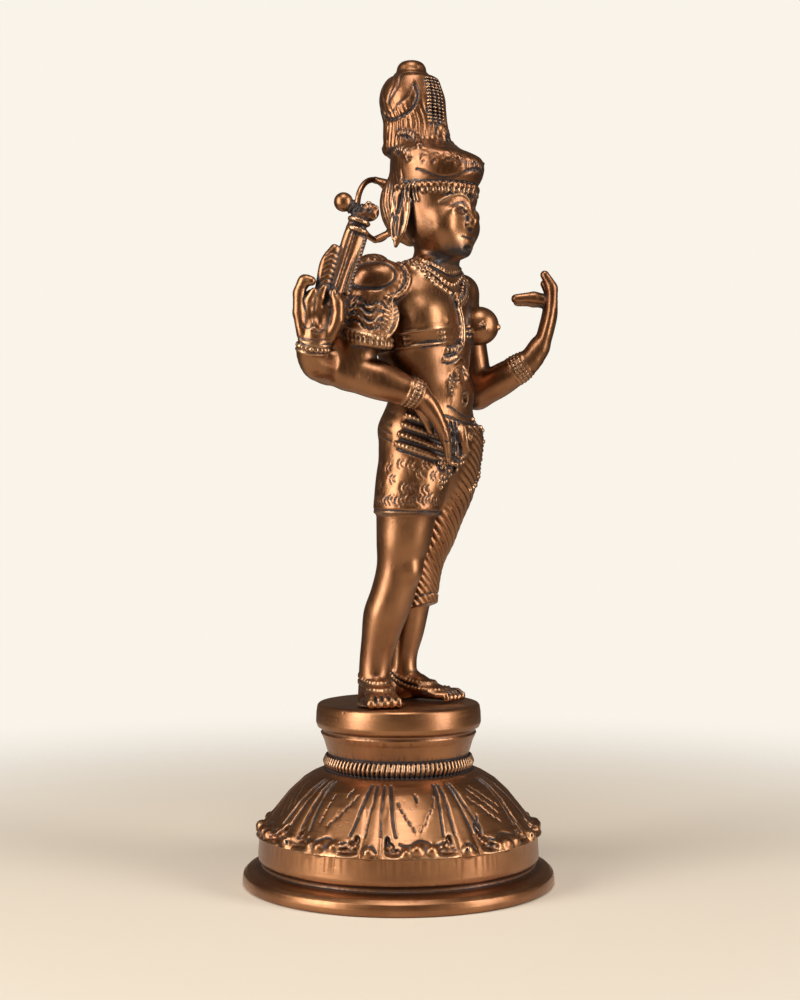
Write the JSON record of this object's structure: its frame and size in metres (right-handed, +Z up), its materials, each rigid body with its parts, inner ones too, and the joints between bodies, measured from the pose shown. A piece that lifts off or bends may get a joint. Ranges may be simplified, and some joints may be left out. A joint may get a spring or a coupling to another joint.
{
  "type": "ardhanarishvara figure",
  "caption": "Standing cast brass figure, half god with a raised axe and half goddess, with tall crown, girdle and pleated cloth, on a round stepped lotus pedestal.",
  "frame": {"origin": "centre of the pedestal's flat underside", "axes": "+Z up; the figure faces -Y; its own right half, the god with two arms and the axe, is at -X, and its left half, the goddess, is at +X"},
  "size_m": [0.095, 0.095, 0.25],
  "materials": {
    "figure_brass": "satin antique bronze brown, dark patina in the recesses, golden wear on raised edges",
    "pedestal_brass": "satin antique bronze brown with fine turning and file marks, dark patina in the grooves"
  },
  "bodies": {
    "root": {"figure": "figure_brass", "lotus_pedestal": "pedestal_brass"}
  },
  "joints": []
}
